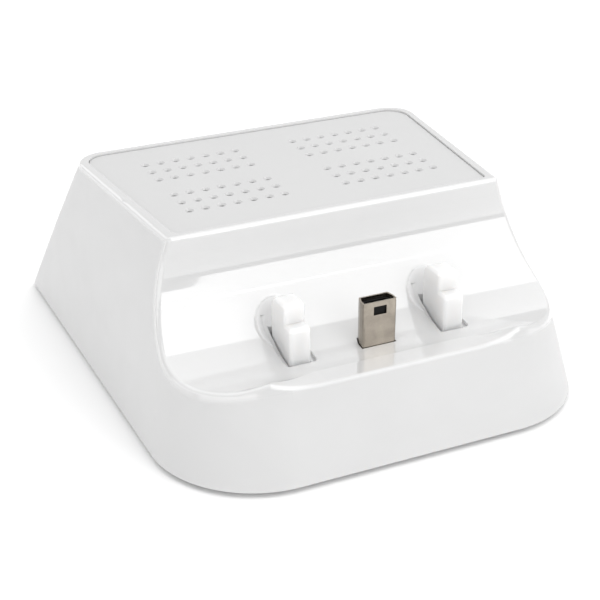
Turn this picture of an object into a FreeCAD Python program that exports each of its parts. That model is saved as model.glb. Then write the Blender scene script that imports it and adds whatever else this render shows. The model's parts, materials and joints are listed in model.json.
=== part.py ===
import FreeCAD, Part
import math
import os
import Sketcher
from FreeCAD import Placement, Rotation, Vector

# Desktop docking cradle for a dental camera handset.
# Millimetres, X to the right, -Y to the front, +Z up.
# Origin on the table, under the middle of the footprint.

SIZES = [
    # shell outline at three levels, measured to the sharp corners, and their rounding
    ("base_z", 1.0), ("mid_z", 19.4), ("top_z", 37.8),
    ("base_front", 50.0), ("base_back", 50.0), ("base_half_front", 42.5), ("base_half_back", 43.4),
    ("mid_front", 43.4), ("mid_back", 38.5), ("mid_half_front", 38.6), ("mid_half_back", 40.8),
    ("top_front", 36.8), ("top_back", 27.0), ("top_half_front", 32.4), ("top_half_back", 38.1),
    ("base_corner_front", 20.3), ("mid_corner_front", 17.9), ("top_corner_front", 14.0),
    ("base_corner_back", 3.0), ("mid_corner_back", 4.2), ("top_corner_back", 5.5),
    ("wall", 2.0), ("back_inset_ratio", 1.25), ("far", 70.0), ("overrun", 1.0),
    # cradle channel across the shell
    ("channel_y", 36.8), ("channel_z", 34.3), ("channel_radius", 17.5),
    ("lip_y", 39.9), ("lip_radius", 2.8), ("lip_top_z", 19.3),
    ("notch_z", 17.05), ("notch_half", 27.0), ("notch_flat_half", 14.5), ("notch_radius", 37.0),
    ("notch_back", 38.0), ("rim_round", 0.8), ("rim_low_z", 10.0),
    # vent panel and its seat
    ("seat_depth", 2.0), ("seat_floor", 1.8), ("panel_thick", 1.6), ("panel_gap", 0.12),
    ("seat_front", 17.9), ("seat_back", 25.6), ("seat_half_front", 32.3), ("seat_half_back", 36.4),
    ("seat_corner_front", 1.6), ("seat_corner_back", 4.4),
    ("vent_pitch_x", 3.23), ("vent_pitch_y", 4.15), ("vent_inner_x", 6.46), ("vent_inner_y", 4.15),
    ("vent_mid_y", 4.45), ("vent_radius", 0.55), ("vent_mouth", 0.9), ("vent_dish", 0.4),
    ("window_margin", 2.0),
    # guide levers
    ("post_x", 15.7), ("post_width", 4.1), ("slot_width", 4.46),
    ("slot_front", 35.85), ("slot_back", 25.5), ("floor_cut_z", 11.0), ("window_cut_z", 30.0),
    ("recess_width", 6.2), ("recess_depth", 0.7), ("recess_top_z", 21.4), ("recess_front", 36.1),
    ("recess_corner", 0.9), ("scoop_radius", 8.3), ("scoop_y", 30.69), ("scoop_z", 25.89),
    ("scoop_round", 2.4), ("well_gap", 0.15), ("well_wall", 1.2), ("well_low_z", 12.6),
    ("pivot_y", 33.0), ("pivot_z", 9.5), ("barrel_radius", 2.6), ("bore_radius", 1.05),
    ("pin_radius", 1.0), ("cheek_gap", 0.3), ("cheek_thick", 1.6), ("cheek_top_z", 12.0),
    ("column_front", 35.65), ("column_top_front", 35.3), ("web_front", 35.08),
    ("ledge_z", 23.5), ("step_y", 32.9),
    ("post_top_z", 27.1), ("post_rear", 26.7), ("post_low_z", 12.0), ("post_foot_z", 14.5),
    ("tail_start", 29.6), ("tail_end", 22.6), ("tail_low_z", 8.3), ("tail_top_z", 10.6),
    ("ledge_round", 0.8), ("crown_round", 0.6), ("shoulder_round", 2.4), ("post_round", 0.6),
    ("spring_y", 24.6), ("spring_radius", 1.45), ("spring_wire", 0.22), ("spring_turns", 5.0),
    ("spring_gap", 0.02),
    ("peg_radius", 0.9), ("peg_height", 2.0),
    # plug
    ("plug_front", 35.5), ("plug_depth", 3.0), ("plug_half", 3.4), ("plug_half_back", 2.95),
    ("plug_taper_y", 34.1), ("plug_top_z", 25.7), ("plug_low_z", 13.6), ("plug_sheet", 0.32),
    ("plug_round", 0.4),
    ("plug_gap", 0.15), ("plug_window_half", 1.3), ("plug_window_low", 23.1), ("plug_window_high", 24.8),
    ("plug_window_deep", 1.62),
    ("insulator_gap", 0.05), ("insulator_drop", 0.7),
    ("contact_pitch", 0.8), ("contact_width", 0.36), ("contact_thick", 0.25), ("contact_y", 33.7),
    ("contact_drop", 1.6), ("contact_slot", 0.7), ("contact_side_gap", 0.3),
    ("carrier_half", 6.0), ("carrier_front", 37.4), ("carrier_back", 30.6),
    # base plate, feet and screws
    ("plate_top_z", 3.0), ("plate_gap", 0.15), ("foot_radius", 4.0), ("foot_seat", 0.8),
    ("foot_gap", 0.1), ("foot_chamfer", 0.3),
    ("foot_front_x", 29.5), ("foot_front_y", 35.5), ("foot_back_x", 33.0), ("foot_back_y", 39.0),
    ("boss_front_x", 33.0), ("boss_front_y", 21.0), ("boss_back_x", 34.0), ("boss_back_y", 27.5),
    ("boss_radius", 3.2), ("pilot_radius", 1.25), ("pilot_top_z", 12.0),
    ("screw_radius", 1.2), ("screw_head", 2.3), ("screw_head_thick", 0.8), ("screw_end_z", 11.0),
    ("screw_hole", 1.5), ("counterbore", 2.6), ("counterbore_deep", 1.0), ("drive_half", 1.3),
    ("drive_half_width", 0.28), ("drive_deep", 0.5),
    # circuit board
    ("board_z", 5.0), ("board_thick", 1.6), ("board_half", 29.5), ("board_front", 16.0),
    ("board_back", 39.6), ("tongue_half", 10.0), ("tongue_front", 39.5),
    ("standoff_x", 26.0), ("standoff_front", 11.0), ("standoff_back", 22.0), ("standoff_radius", 2.5),
    ("tongue_rest_y", 26.0),
    ("board_screw", 0.95), ("board_pilot", 1.0), ("board_hole", 1.1), ("board_head", 1.9),
    ("board_head_thick", 1.3), ("board_screw_end", 2.4), ("board_pilot_z", 2.2),
    # sockets in the back
    ("usb_x", 14.0), ("usb_half", 3.85), ("usb_high", 3.9), ("usb_inner", 34.6), ("usb_mouth", 44.0),
    ("usb_sheet", 0.4), ("usb_block", 2.0), ("usb_tongue_half", 2.2), ("usb_tongue_thick", 0.7),
    ("usb_tongue_end", 42.8),
    ("jack_x", 14.5), ("jack_half", 3.5), ("jack_high", 6.5), ("jack_inner", 32.1), ("jack_mouth", 42.0),
    ("jack_bore", 1.9), ("jack_deep", 8.5), ("jack_pin", 0.65), ("jack_pin_back", 1.0),
    ("socket_gap", 0.25), ("socket_cut_y", 30.0),
    # parts on the board
    ("chip_x", 6.0), ("chip_y", 4.0), ("chip_half", 5.0), ("chip_thick", 1.4),
    ("can_x", 19.0), ("can_y", 2.0), ("can_step", 8.0), ("can_radius", 3.15), ("can_high", 7.0),
]


class Dim:
    """A number together with the sheet expression that gives it."""

    def __init__(self, text, value):
        self.text = text
        self.value = value

    def __add__(self, other):
        other = as_dim(other)
        return Dim("(%s + %s)" % (self.text, other.text), self.value + other.value)

    def __sub__(self, other):
        other = as_dim(other)
        return Dim("(%s - %s)" % (self.text, other.text), self.value - other.value)

    def __mul__(self, other):
        other = as_dim(other)
        return Dim("(%s * %s)" % (self.text, other.text), self.value * other.value)

    def __truediv__(self, other):
        other = as_dim(other)
        return Dim("(%s / %s)" % (self.text, other.text), self.value / other.value)

    def __neg__(self):
        return Dim("(0 - %s)" % self.text, -self.value)


def as_dim(value):
    return value if isinstance(value, Dim) else Dim(repr(float(value)), float(value))


doc = FreeCAD.newDocument("camera_cradle")
sheet = doc.addObject("Spreadsheet::Sheet", "sizes")
for row, (alias, number) in enumerate(SIZES, start=1):
    sheet.set("A%d" % row, alias)
    sheet.set("B%d" % row, str(number))
    sheet.setAlias("B%d" % row, alias)
doc.recompute()
VENT_COLUMNS = 7
VENT_ROWS = 3
CONTACTS = 5
CANS = 2
TINY = 0.01
S = {alias: Dim("sizes.%s" % alias, float(number)) for alias, number in SIZES}
ZERO = as_dim(0.0)
NODES = {}


# ---------------------------------------------------------------- helpers

def bind(obj, path, dim):
    obj.setExpression(path, as_dim(dim).text)


def node(name, obj):
    """Register a finished sub-part under its node name."""
    obj.Label = name
    NODES[name] = obj
    return obj


def new_body(name):
    return doc.addObject("PartDesign::Body", name)


def new_sketch(body, name, role, offset=None):
    sketch = body.newObject("Sketcher::SketchObject", name)
    plane = [item for item in body.Origin.OriginFeatures if item.Role == role][0]
    sketch.AttachmentSupport = [(plane, "")]
    sketch.MapMode = "FlatFace"
    if offset is not None:
        sketch.AttachmentOffset = Placement(Vector(0, 0, offset.value), Rotation())
        bind(sketch, "AttachmentOffset.Base.z", offset)
    return sketch


def fix_coordinate(sketch, kind, axis, geo, point, dim):
    """Hold one coordinate of a point, on the axis itself when it is zero."""
    if abs(dim.value) < 1e-9:
        sketch.addConstraint(Sketcher.Constraint("PointOnObject", geo, point, axis))
        return
    index = sketch.addConstraint(Sketcher.Constraint(kind, -1, 1, geo, point, dim.value))
    bind(sketch, "Constraints[%d]" % index, dim)


def fix_point(sketch, geo, point, spot):
    fix_coordinate(sketch, "DistanceX", -2, geo, point, as_dim(spot[0]))
    fix_coordinate(sketch, "DistanceY", -1, geo, point, as_dim(spot[1]))


def flat(spot):
    return Vector(as_dim(spot[0]).value, as_dim(spot[1]).value, 0)


def polygon(sketch, corners):
    """Closed outline of straight lines, each corner held by two sizes."""
    first = sketch.GeometryCount
    count = len(corners)
    for i, corner in enumerate(corners):
        sketch.addGeometry(Part.LineSegment(flat(corner), flat(corners[(i + 1) % count])), False)
    for i in range(count):
        following = first + (i + 1) % count
        sketch.addConstraint(Sketcher.Constraint("Coincident", first + i, 2, following, 1))
    for i, corner in enumerate(corners):
        fix_point(sketch, first + i, 1, corner)


def circle(sketch, centre, radius):
    radius = as_dim(radius)
    index = sketch.addGeometry(Part.Circle(flat(centre), Vector(0, 0, 1), radius.value), False)
    fix_point(sketch, index, 3, centre)
    held = sketch.addConstraint(Sketcher.Constraint("Radius", index, radius.value))
    bind(sketch, "Constraints[%d]" % held, radius)


def rectangle(sketch, x0, x1, y0, y1):
    polygon(sketch, [(x0, y0), (x1, y0), (x1, y1), (x0, y1)])


def extrude(body, kind, name, sketch, length, symmetric=False, reverse=False):
    feature = body.newObject("PartDesign::" + kind, name)
    feature.Profile = sketch
    feature.Type = "Length"
    bind(feature, "Length", length)
    if symmetric:
        feature.SideType = "Symmetric"
    feature.Reversed = reverse
    body.Tip = feature
    return feature


def edges_where(shape, test):
    return ["Edge%d" % (i + 1) for i, edge in enumerate(shape.Edges) if test(edge)]


def edge_points(edge, count=7):
    first, last = edge.ParameterRange
    return [edge.valueAt(first + (last - first) * i / (count - 1)) for i in range(count)]


def dress(body, kind, name, base, edges, size):
    """Fillet or Chamfer the named edges of the feature below."""
    feature = body.newObject("PartDesign::" + kind, name)
    feature.Base = (base, edges)
    bind(feature, "Radius" if kind == "Fillet" else "Size", size)
    body.Tip = feature
    return feature


def volume_after(feature, before, grows):
    """Recompute and make sure the feature changed the solid the right way."""
    doc.recompute()
    change = feature.Shape.Volume - before
    if (change > 0) != grows or abs(change) < 1e-6:
        raise RuntimeError("%s changed the volume by %.4f" % (feature.Name, change))
    return feature.Shape.Volume


def box(name, x0, x1, y0, y1, z0, z1):
    obj = doc.addObject("Part::Box", name)
    low = [as_dim(x0), as_dim(y0), as_dim(z0)]
    high = [as_dim(x1), as_dim(y1), as_dim(z1)]
    for size, a, b in zip(("Length", "Width", "Height"), low, high):
        bind(obj, size, b - a)
    for axis, a in zip("xyz", low):
        bind(obj, "Placement.Base." + axis, a)
    return obj


def cylinder(name, centre, radius, length, axis="z"):
    """Cylinder starting at centre and running along +axis."""
    obj = doc.addObject("Part::Cylinder", name)
    bind(obj, "Radius", radius)
    bind(obj, "Height", length)
    turn = {"z": Rotation(), "x": Rotation(Vector(0, 1, 0), 90), "y": Rotation(Vector(1, 0, 0), -90)}
    obj.Placement = Placement(Vector(), turn[axis])
    for name_axis, value in zip("xyz", centre):
        bind(obj, "Placement.Base." + name_axis, value)
    return obj


def fuse(name, shapes):
    obj = doc.addObject("Part::MultiFuse", name)
    obj.Shapes = shapes
    obj.Refine = True
    return obj


def cut(name, base, tool):
    obj = doc.addObject("Part::Cut", name)
    obj.Base = base
    obj.Tool = tool
    obj.Refine = True
    return obj


# ---------------------------------------------------------------- shell

def rounded_outline(sketch, corners, radii):
    """Closed outline through sharp corners, each rounded by its own radius, counter-clockwise."""
    count = len(corners)
    spots = [flat(corner) for corner in corners]
    arcs, starts, ends = [], [], []
    for i, spot in enumerate(spots):
        before = (spots[i - 1] - spot).normalize()
        after = (spots[(i + 1) % count] - spot).normalize()
        half_angle = before.getAngle(after) / 2
        radius = radii[i].value
        centre = spot + (before + after).normalize() * (radius / math.sin(half_angle))
        reach = radius / math.tan(half_angle)
        start, end = spot + before * reach, spot + after * reach
        angles = [math.atan2(point.y - centre.y, point.x - centre.x) for point in (start, end)]
        if angles[1] < angles[0]:
            angles[1] += 2 * math.pi
        arcs.append(Part.ArcOfCircle(Part.Circle(centre, Vector(0, 0, 1), radius), *angles))
        starts.append(start)
        ends.append(end)
    arc_ids, line_ids = [], []
    for i in range(count):
        arc_ids.append(sketch.addGeometry(arcs[i], False))
        line_ids.append(sketch.addGeometry(Part.LineSegment(ends[i], starts[(i + 1) % count]), False))
    for i in range(count):
        sketch.addConstraint(Sketcher.Constraint("Tangent", arc_ids[i], 2, line_ids[i], 1))
        sketch.addConstraint(Sketcher.Constraint("Tangent", line_ids[i], 2, arc_ids[(i + 1) % count], 1))
    for i in range(count):
        held = sketch.addConstraint(Sketcher.Constraint("Radius", arc_ids[i], radii[i].value))
        bind(sketch, "Constraints[%d]" % held, radii[i])
        corner = sketch.addGeometry(Part.Point(spots[i]), True)
        fix_point(sketch, corner, 1, corners[i])
        for line in (line_ids[i - 1], line_ids[i]):
            sketch.addConstraint(Sketcher.Constraint("PointOnObject", corner, 1, line))


def shell_form(name, inset):
    """Body of the outer form drawn in by inset: rounded foot print, smaller rounded top."""
    inset = as_dim(inset)
    body = new_body(name)
    levels = [
        ("base", S["base_front"], S["base_back"], S["base_half_front"], S["base_half_back"]),
        ("mid", S["mid_front"], S["mid_back"], S["mid_half_front"], S["mid_half_back"]),
        ("top", S["top_front"], S["top_back"], S["top_half_front"], S["top_half_back"]),
    ]
    sections = []
    for label, front, back, half_front, half_back in levels:
        sketch = new_sketch(body, "%s_%s" % (name, label), "XY_Plane", S[label + "_z"])
        y_front = inset - front
        y_back = back - inset * S["back_inset_ratio"]
        x_front = half_front - inset
        x_back = half_back - inset
        round_front = S[label + "_corner_front"] - inset
        round_back = S[label + "_corner_back"] - inset
        corners = [(-x_front, y_front), (x_front, y_front), (x_back, y_back), (-x_back, y_back)]
        rounded_outline(sketch, corners, [round_front, round_front, round_back, round_back])
        sections.append(sketch)
    loft = body.newObject("PartDesign::AdditiveLoft", name + "_loft")
    loft.Profile = sections[0]
    loft.Sections = sections[1:]
    loft.Ruled = False
    body.Tip = loft
    doc.recompute()
    return body


def channel_profile(sketch, grow):
    """Side view of the cradle channel: big round back and floor, small round up to the lip."""
    grow = as_dim(grow)
    big = S["channel_radius"] + grow
    small = S["lip_radius"] + grow
    centre = (-S["channel_y"], S["channel_z"])
    reach = S["channel_radius"].value - S["lip_radius"].value
    drop = math.sqrt(reach ** 2 - (S["lip_y"].value - S["channel_y"].value) ** 2)
    lip_centre = Vector(-S["lip_y"].value, S["channel_z"].value - drop, 0)
    big_centre = flat(centre)
    touch = big_centre + (lip_centre - big_centre) * (big.value / reach)
    lip_z = S["lip_top_z"]
    rise = lip_z.value - lip_centre.y
    lip_end = Vector(lip_centre.x - math.sqrt(small.value ** 2 - rise ** 2), lip_z.value, 0)
    start = Vector(big_centre.x + big.value, big_centre.y, 0)
    above = Vector(start.x, S["far"].value, 0)
    low_angle = math.atan2(touch.y - big_centre.y, touch.x - big_centre.x) + 2 * math.pi
    end_angle = math.atan2(lip_end.y - lip_centre.y, lip_end.x - lip_centre.x) + 2 * math.pi
    front_top = Vector(-S["far"].value, S["far"].value, 0)
    front_low = Vector(-S["far"].value, lip_z.value, 0)
    upward = Vector(0, 0, 1)
    big_arc = Part.ArcOfCircle(Part.Circle(big_centre, upward, big.value), low_angle, 2 * math.pi)
    small_arc = Part.ArcOfCircle(Part.Circle(lip_centre, upward, small.value), end_angle, low_angle)
    for geometry in (Part.LineSegment(above, start), big_arc, small_arc,
                     Part.LineSegment(lip_end, front_low), Part.LineSegment(front_low, front_top),
                     Part.LineSegment(front_top, above)):
        sketch.addGeometry(geometry, False)
    for constraint in (("Tangent", 0, 2, 1, 2), ("Tangent", 1, 1, 2, 2), ("Coincident", 2, 1, 3, 1),
                       ("Coincident", 3, 2, 4, 1), ("Coincident", 4, 2, 5, 1),
                       ("Coincident", 5, 2, 0, 1), ("Vertical", 0), ("Horizontal", 3),
                       ("Vertical", 4), ("Horizontal", 5)):
        sketch.addConstraint(Sketcher.Constraint(*constraint))
    fix_point(sketch, 1, 3, centre)
    for geo, radius in ((1, big), (2, small)):
        held = sketch.addConstraint(Sketcher.Constraint("Radius", geo, radius.value))
        bind(sketch, "Constraints[%d]" % held, radius)
    fix_coordinate(sketch, "DistanceX", -2, 2, 3, -S["lip_y"])
    fix_coordinate(sketch, "DistanceY", -1, 3, 1, lip_z)
    fix_point(sketch, 5, 1, (-S["far"], S["far"]))


def cut_channel(body, name, grow):
    before = body.Tip.Shape.Volume
    sketch = new_sketch(body, name + "_side", "YZ_Plane")
    channel_profile(sketch, grow)
    pocket = extrude(body, "Pocket", name, sketch, S["far"] * 2, symmetric=True)
    volume_after(pocket, before, grows=False)
    return pocket


def cut_notch(body):
    """Wide shallow finger notch along the front lip, its ends curving up."""
    before = body.Tip.Shape.Volume
    sketch = new_sketch(body, "notch_front", "XZ_Plane", S["far"])
    top = S["channel_z"]
    half, flat_half, radius = S["notch_half"], S["notch_flat_half"], S["notch_radius"]
    turn = math.asin((half.value - flat_half.value) / radius.value)
    upward = Vector(0, 0, 1)
    centres = {}
    for side in (1, -1):
        centre = Vector(side * flat_half.value, S["notch_z"].value + radius.value, 0)
        down = -math.pi / 2
        span = (down, down + turn) if side > 0 else (down - turn, down)
        centres[side] = sketch.addGeometry(
            Part.ArcOfCircle(Part.Circle(centre, upward, radius.value), *span), False)
    right, left = centres[1], centres[-1]
    right_end = sketch.getPoint(right, 2)
    left_end = sketch.getPoint(left, 1)
    corners = [right_end, Vector(right_end.x, top.value, 0), Vector(left_end.x, top.value, 0), left_end]
    lines = [sketch.addGeometry(Part.LineSegment(a, b), False) for a, b in zip(corners, corners[1:])]
    floor = sketch.addGeometry(Part.LineSegment(sketch.getPoint(left, 2), sketch.getPoint(right, 1)), False)
    for constraint in (("Coincident", right, 2, lines[0], 1), ("Coincident", lines[0], 2, lines[1], 1),
                       ("Coincident", lines[1], 2, lines[2], 1), ("Coincident", lines[2], 2, left, 1),
                       ("Tangent", left, 2, floor, 1), ("Tangent", floor, 2, right, 1),
                       ("Vertical", lines[0]), ("Vertical", lines[2]), ("Horizontal", lines[1]),
                       ("Horizontal", floor), ("Equal", left, right)):
        sketch.addConstraint(Sketcher.Constraint(*constraint))
    held = sketch.addConstraint(Sketcher.Constraint("Radius", right, radius.value))
    bind(sketch, "Constraints[%d]" % held, radius)
    fix_point(sketch, floor, 1, (-flat_half, S["notch_z"]))
    fix_coordinate(sketch, "DistanceX", -2, floor, 2, flat_half)
    fix_coordinate(sketch, "DistanceX", -2, lines[0], 1, half)
    fix_point(sketch, lines[2], 1, (-half, top))
    pocket = extrude(body, "Pocket", "lip_notch", sketch, S["far"] - S["notch_back"])
    volume_after(pocket, before, grows=False)
    return pocket


def post_sides():
    return (("right", S["post_x"]), ("left", -S["post_x"]))


def cut_recesses(body):
    """Soft scoop behind each guide post and the shallow recess it stands in."""
    for side, x in post_sides():
        before = body.Tip.Shape.Volume
        scoop = body.newObject("PartDesign::SubtractiveSphere", "scoop_" + side)
        bind(scoop, "Radius", S["scoop_radius"])
        bind(scoop, "Placement.Base.x", x)
        bind(scoop, "Placement.Base.y", -S["scoop_y"])
        bind(scoop, "Placement.Base.z", S["scoop_z"])
        body.Tip = scoop
        volume_after(scoop, before, grows=False)
        rim = edges_where(scoop.Shape, lambda edge: scoop_rim(edge, x))
        soft = dress(body, "Fillet", "scoop_rim_" + side, scoop, rim, S["scoop_round"])
        volume_after(soft, scoop.Shape.Volume, grows=False)
    for side, x in post_sides():
        before = body.Tip.Shape.Volume
        sketch = new_sketch(body, "recess_%s_side" % side, "YZ_Plane", x)
        deep = S["channel_radius"] + S["recess_depth"]
        centre = Vector(-S["channel_y"].value, S["channel_z"].value, 0)
        rise = S["recess_top_z"].value - centre.y
        high = Vector(centre.x + math.sqrt(deep.value ** 2 - rise ** 2), centre.y + rise, 0)
        reach = centre.x + S["recess_front"].value
        low = Vector(centre.x - reach, centre.y - math.sqrt(deep.value ** 2 - reach ** 2), 0)
        angles = [math.atan2(point.y - centre.y, point.x - centre.x) for point in (low, high)]
        arc = Part.ArcOfCircle(Part.Circle(centre, Vector(0, 0, 1), deep.value), *angles)
        sketch.addGeometry(arc, False)
        sketch.addGeometry(Part.LineSegment(high, centre), False)
        sketch.addGeometry(Part.LineSegment(centre, low), False)
        for joined in ((0, 2, 1, 1), (1, 2, 2, 1), (2, 2, 0, 1), (0, 3, 1, 2)):
            sketch.addConstraint(Sketcher.Constraint("Coincident", *joined))
        held = sketch.addConstraint(Sketcher.Constraint("Radius", 0, deep.value))
        bind(sketch, "Constraints[%d]" % held, deep)
        fix_point(sketch, 0, 3, (-S["channel_y"], S["channel_z"]))
        fix_coordinate(sketch, "DistanceY", -1, 0, 2, S["recess_top_z"])
        fix_coordinate(sketch, "DistanceX", -2, 0, 1, -S["recess_front"])
        pocket = extrude(body, "Pocket", "recess_" + side, sketch, S["recess_width"], symmetric=True)
        volume_after(pocket, before, grows=False)
        corners = edges_where(pocket.Shape, lambda edge: recess_corner(edge, x))
        rounded = dress(body, "Fillet", "recess_corners_" + side, pocket, corners, S["recess_corner"])
        volume_after(rounded, pocket.Shape.Volume, grows=True)


def scoop_rim(edge, x):
    """Whether an edge lies where the scoop's sphere leaves the channel surface."""
    centre = Vector(x.value, -S["scoop_y"].value, S["scoop_z"].value)
    return all(abs(point.distanceToPoint(centre) - S["scoop_radius"].value) < TINY
               and abs(math.hypot(point.y + S["channel_y"].value, point.z - S["channel_z"].value)
                       - S["channel_radius"].value) < TINY
               for point in edge_points(edge))


def recess_corner(edge, x):
    """Whether an edge is one of the two upright corners at the front of a recess."""
    half = S["recess_width"].value / 2
    room = edge.BoundBox
    return (room.XLength < TINY and abs(abs(room.XMin - x.value) - half) < TINY
            and abs(room.YMin + S["recess_front"].value) < S["recess_depth"].value
            and room.YLength < S["recess_depth"].value)


def cut_from_above(body, name, draw, low_z):
    """Pocket from above the shell down to low_z."""
    before = body.Tip.Shape.Volume
    sketch = new_sketch(body, name + "_plan", "XY_Plane", S["far"])
    draw(sketch)
    pocket = extrude(body, "Pocket", name, sketch, S["far"] - low_z)
    volume_after(pocket, before, grows=False)
    return pocket


def draw_all(sketch):
    """Rectangle that covers the whole plan."""
    far = S["far"]
    rectangle(sketch, -far, far, -far, far)


def plug_outline(sketch, grow):
    """Plan of the plug: wide front part, sides drawn in towards the back."""
    grow = as_dim(grow)
    front = -S["plug_front"] - grow
    back = S["plug_depth"] - S["plug_front"] + grow
    wide = S["plug_half"] + grow
    narrow = S["plug_half_back"] + grow
    taper = -S["plug_taper_y"]
    polygon(sketch, [(-wide, front), (wide, front), (wide, taper), (narrow, back), (-narrow, back),
                     (-wide, taper)])


def seat_outline(sketch, inset):
    """Plan of the seat in the top of the shell, or of the panel when drawn in by a gap."""
    inset = as_dim(inset)
    y_front = inset - S["seat_front"]
    y_back = S["seat_back"] - inset
    x_front = S["seat_half_front"] - inset
    x_back = S["seat_half_back"] - inset
    front = S["seat_corner_front"] - inset
    back = S["seat_corner_back"] - inset
    rounded_outline(sketch, [(-x_front, y_front), (x_front, y_front), (x_back, y_back), (-x_back, y_back)],
                    [front, front, back, back])


def vent_blocks():
    """Lower corner and size of the four blocks of vent holes."""
    width = S["vent_pitch_x"] * (VENT_COLUMNS - 1)
    depth = S["vent_pitch_y"] * (VENT_ROWS - 1)
    for x_side in (1, -1):
        for y_side in (1, -1):
            x0 = S["vent_inner_x"] if x_side > 0 else -S["vent_inner_x"] - width
            y0 = S["vent_mid_y"] + (S["vent_inner_y"] if y_side > 0 else -S["vent_inner_y"] - depth)
            yield x0, y0, width, depth


def round_rims(body, form):
    """Soft edge all round the channel, the lip and the top of the shell."""
    base = body.Tip
    skin = form.Shape.Shells[0]

    def on_skin(edge):
        inner = edge_points(edge)
        return edge.BoundBox.ZMin > S["rim_low_z"].value and all(
            skin.distToShape(Part.Vertex(point))[0] < TINY for point in inner)

    rounded = dress(body, "Fillet", "rims", base, edges_where(base.Shape, on_skin), S["rim_round"])
    volume_after(rounded, base.Shape.Volume, grows=False)


def build_outer():
    """The housing's outer form with everything cut into it from outside."""
    body = shell_form("shell_outer", 0)
    form = body.Tip
    cut_channel(body, "channel", 0)
    cut_notch(body)
    round_rims(body, form)
    cut_recesses(body)
    half_slot = S["slot_width"] / 2

    def draw_slots(sketch):
        for side, x in post_sides():
            rectangle(sketch, x - half_slot, x + half_slot, -S["slot_front"], -S["slot_back"])

    def draw_windows(sketch):
        margin = S["window_margin"]
        for x0, y0, width, depth in vent_blocks():
            rectangle(sketch, x0 - margin, x0 + width + margin, y0 - margin, y0 + depth + margin)

    def draw_plug_opening(sketch):
        plug_outline(sketch, S["plug_gap"])

    cut_from_above(body, "lever_slots", draw_slots, S["floor_cut_z"])
    cut_from_above(body, "plug_opening", draw_plug_opening, S["floor_cut_z"])
    cut_from_above(body, "panel_seat", lambda sketch: seat_outline(sketch, 0), S["top_z"] - S["seat_depth"])
    cut_from_above(body, "vent_windows", draw_windows, S["window_cut_z"])
    before = body.Tip.Shape.Volume
    sketch = new_sketch(body, "socket_openings", "XZ_Plane", -S["far"])
    gap = S["socket_gap"]
    board_top = S["board_z"] + S["board_thick"]
    sockets = ((S["usb_x"], S["usb_half"], S["usb_high"]), (-S["jack_x"], S["jack_half"], S["jack_high"]))
    for x, half, high in sockets:
        rectangle(sketch, x - half - gap, x + half + gap, board_top - gap, board_top + high + gap)
    pocket = extrude(body, "Pocket", "socket_cuts", sketch, S["far"] - S["socket_cut_y"], reverse=True)
    volume_after(pocket, before, grows=False)
    return body


def boss_spots():
    for side in (1, -1):
        yield S["boss_front_x"] * side, -S["boss_front_y"]
        yield S["boss_back_x"] * side, S["boss_back_y"]


def build_core():
    """The hollow of the housing: wall thickness inside the form, clear of channel and bosses."""
    body = shell_form("shell_core", S["wall"])
    ceiling = S["top_z"] - S["seat_depth"] - S["seat_floor"]
    cut_from_above(body, "core_top", draw_all, ceiling)
    cut_channel(body, "core_channel", S["wall"])

    def draw_bosses(sketch):
        for spot in boss_spots():
            circle(sketch, spot, S["boss_radius"])

    def draw_wells(sketch):
        inner = S["slot_width"] / 2 + S["well_gap"]
        front = -S["slot_front"] - S["well_gap"]
        back = S["well_gap"] - S["slot_back"]
        wall = S["well_wall"]
        for side, x in post_sides():
            rectangle(sketch, x - inner - wall, x + inner + wall, front - wall, back + wall)
            rectangle(sketch, x - inner, x + inner, front, back)

    cut_from_above(body, "bosses", draw_bosses, S["plate_top_z"])
    cut_from_above(body, "wells", draw_wells, S["well_low_z"])
    before = body.Tip.Shape.Volume
    sketch = new_sketch(body, "pilot_plan", "XY_Plane", S["base_z"])
    for spot in boss_spots():
        circle(sketch, spot, S["pilot_radius"])
    pilots = extrude(body, "Pad", "pilots", sketch, S["pilot_top_z"] - S["base_z"])
    volume_after(pilots, before, grows=True)
    return body


def build_housing():
    node("upper_housing", cut("upper_housing", build_outer(), build_core()))


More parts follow.
